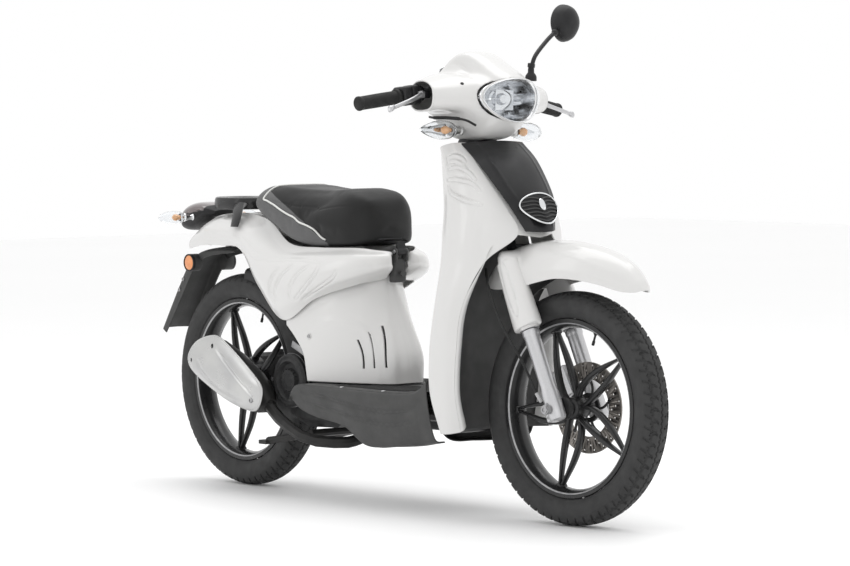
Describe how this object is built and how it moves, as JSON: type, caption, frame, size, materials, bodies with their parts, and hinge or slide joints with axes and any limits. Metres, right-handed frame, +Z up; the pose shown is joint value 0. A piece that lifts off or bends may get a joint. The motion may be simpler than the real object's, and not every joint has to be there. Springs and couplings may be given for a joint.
{
  "type": "moped scooter",
  "caption": "White step-through moped scooter with large cast wheels, leg shield, flat footboard, hinged two-part seat, telescopic fork, disc front brake and swinging engine unit.",
  "frame": {"origin": "middle of the rear tyre's flat contact patch on the ground, in the scooter's plane of symmetry", "axes": "+X forward along the wheelbase, +Y to the rider's left, +Z up"},
  "size_m": [1.8487, 0.6757, 1.2089],
  "materials": {
    "white_paint": "gloss white paint on moulded plastic",
    "dark_grey_plastic": "grained matte",
    "black_plastic": "satin",
    "frame_paint": "satin black",
    "steel": "plated",
    "silver_paint": "silver paint",
    "wheel_paint": "gloss black on cast aluminium",
    "engine_cast": "black paint on cast aluminium",
    "exhaust_black": "heat-proof black",
    "tyre_rubber": "treaded",
    "grip_rubber": "ribbed",
    "seat_vinyl": "black and grey vinyl with white piping",
    "chrome": "bright",
    "clear_lens": "clear moulded lens"
  },
  "bodies": {
    "chassis": {"frame": "frame_paint", "front_shield": "white_paint", "front_panel": "black_plastic", "grille": "chrome", "wheel_arch_liner": "dark_grey_plastic", "inner_shield": "white_paint", "floorboard": "dark_grey_plastic", "fuel_tank": "black_plastic", "underseat_panel": "white_paint", "side_panel_left": "white_paint", "side_panel_right": "white_paint", "tail_cover": "white_paint", "storage_bay": "black_plastic", "seat_bracket": "black_plastic", "grab_rail": "black_plastic", "tail_light": "black_plastic", "rear_indicator_left": "clear_lens", "rear_indicator_right": "clear_lens", "rear_mudguard": "dark_grey_plastic"},
    "steering": {"steering_stem": "steel", "front_fender": "white_paint", "inner_mudguard": "black_plastic", "handlebar": "steel", "grip_left": "grip_rubber", "switchgear_left": "black_plastic", "switchgear_right": "black_plastic", "headset_cowl": "white_paint", "headlight_reflector": "chrome", "headlight_lens": "clear_lens", "instrument_dial": "black_plastic", "front_indicator_left": "clear_lens", "front_indicator_right": "clear_lens", "brake_hose": "grip_rubber", "speedometer_cable": "grip_rubber"},
    "sliders": {"fork_slider_left": "silver_paint", "fork_slider_right": "silver_paint", "front_axle": "steel", "brake_caliper": "silver_paint"},
    "front_wheel": {"front_rim": "wheel_paint", "front_tyre": "tyre_rubber", "brake_disc": "steel"},
    "throttle": {"throttle_grip": "grip_rubber"},
    "brake_lever_left": {"brake_lever_left": "silver_paint"},
    "brake_lever_right": {"brake_lever_right": "silver_paint"},
    "starter_button": {"starter_button": "black_plastic"},
    "horn_button": {"horn_button": "black_plastic"},
    "mirror_stem": {"mirror_stem": "black_plastic"},
    "mirror_head": {"mirror_head": "black_plastic"},
    "seat": {"seat_cushion": "seat_vinyl", "seat_base": "black_plastic"},
    "engine": {"engine_case": "engine_cast", "exhaust": "exhaust_black", "heat_shield": "silver_paint"},
    "rear_wheel": {"rear_rim": "wheel_paint", "rear_tyre": "tyre_rubber"},
    "kick_starter": {"kick_starter": "steel"},
    "centre_stand": {"centre_stand": "frame_paint"},
    "shock": {"shock_body": "steel", "shock_spring": "steel"},
    "shock_rod": {"shock_rod": "steel"}
  },
  "joints": [
    {"name": "steering", "type": "hinge", "parent": "chassis", "child": "steering", "pos_m": [1.339, 0, 0.0006], "axis": [-0.4384, 0, 0.8988], "range_deg": [-38, 30]},
    {"name": "fork_slide", "type": "slide", "parent": "steering", "child": "sliders", "axis": [-0.4384, 0, 0.8988], "range_m": [0, 0.06], "stiffness_N_per_m": 6000, "springref_m": -0.09, "deforming": ["speedometer_cable"]},
    {"name": "front_wheel_spin", "type": "hinge", "parent": "sliders", "child": "front_wheel", "pos_m": [1.2529, 0.00301, 0.27055], "axis": [-0.0658, 0.9973, -0.0321], "continuous": true},
    {"name": "throttle_twist", "type": "hinge", "parent": "steering", "child": "throttle", "pos_m": [0.86603, -0.20749, 0.98811], "axis": [0.0193, -0.9924, -0.1212], "range_deg": [0, 80], "stiffness_Nm_per_rad": 0.4, "springref_deg": -17.19},
    {"name": "left_brake_lever", "type": "hinge", "parent": "steering", "child": "brake_lever_left", "pos_m": [0.8769, 0.16656, 0.98269], "axis": [-0.0011, 0.0321, 0.9995], "range_deg": [0, 15], "stiffness_Nm_per_rad": 3, "springref_deg": -14.32},
    {"name": "right_brake_lever", "type": "hinge", "parent": "steering", "child": "brake_lever_right", "pos_m": [0.89862, -0.16255, 0.99329], "axis": [0.0011, -0.0321, -0.9995], "range_deg": [0, 15], "stiffness_Nm_per_rad": 3, "springref_deg": -14.32},
    {"name": "starter_press", "type": "slide", "parent": "steering", "child": "starter_button", "axis": [0.9978, 0.0658, -0.0011], "range_m": [0, 0.0025], "stiffness_N_per_m": 400, "springref_m": -0.002},
    {"name": "horn_press", "type": "slide", "parent": "steering", "child": "horn_button", "axis": [0.9978, 0.0658, -0.0011], "range_m": [0, 0.0025], "stiffness_N_per_m": 400, "springref_m": -0.002},
    {"name": "mirror_swivel", "type": "hinge", "parent": "steering", "child": "mirror_stem", "pos_m": [0.92142, 0.15584, 1.02568], "axis": [-0.0011, 0.0321, 0.9995], "range_deg": [-30, 40]},
    {"name": "mirror_tilt", "type": "hinge", "parent": "mirror_stem", "child": "mirror_head", "pos_m": [0.89063, 0.25978, 1.14037], "axis": [-0.0658, 0.9973, -0.0321], "range_deg": [-15, 15]},
    {"name": "seat_hinge", "type": "hinge", "parent": "chassis", "child": "seat", "pos_m": [0.6145, 0, 0.613], "axis": [0, 1, 0], "range_deg": [0, 75]},
    {"name": "engine_swing", "type": "hinge", "parent": "chassis", "child": "engine", "pos_m": [0.5415, 0, 0.235], "axis": [0, 1, 0], "range_deg": [0, 5.5], "stiffness_Nm_per_rad": 2200, "springref_deg": -10.31},
    {"name": "rear_wheel_spin", "type": "hinge", "parent": "engine", "child": "rear_wheel", "pos_m": [0, 0, 0.27], "axis": [0, 1, 0], "continuous": true},
    {"name": "stand_fold", "type": "hinge", "parent": "engine", "child": "centre_stand", "pos_m": [0.3565, 0, 0.158], "axis": [0, -1, 0], "range_deg": [0, 80], "stiffness_Nm_per_rad": 1.5, "springref_deg": -45.84},
    {"name": "kick_start", "type": "hinge", "parent": "engine", "child": "kick_starter", "pos_m": [0.3165, 0.137, 0.262], "axis": [0, -1, 0], "range_deg": [0, 50], "stiffness_Nm_per_rad": 1.5, "springref_deg": -45.84},
    {"name": "shock_tilt", "type": "hinge", "parent": "chassis", "child": "shock", "pos_m": [0.0965, 0.082, 0.588], "axis": [0, 1, 0], "range_deg": [0, 0.31]},
    {"name": "shock_stroke", "type": "slide", "parent": "shock", "child": "shock_rod", "axis": [0.2912, 0, 0.9567], "range_m": [0, 0.0533], "deforming": ["shock_spring"]}
  ],
  "couplings": [
    {"joint": "shock_tilt", "follows": "engine_swing", "ratio": 0.03629},
    {"joint": "shock_stroke", "follows": "engine_swing", "m_per_rad": 0.52922}
  ]
}
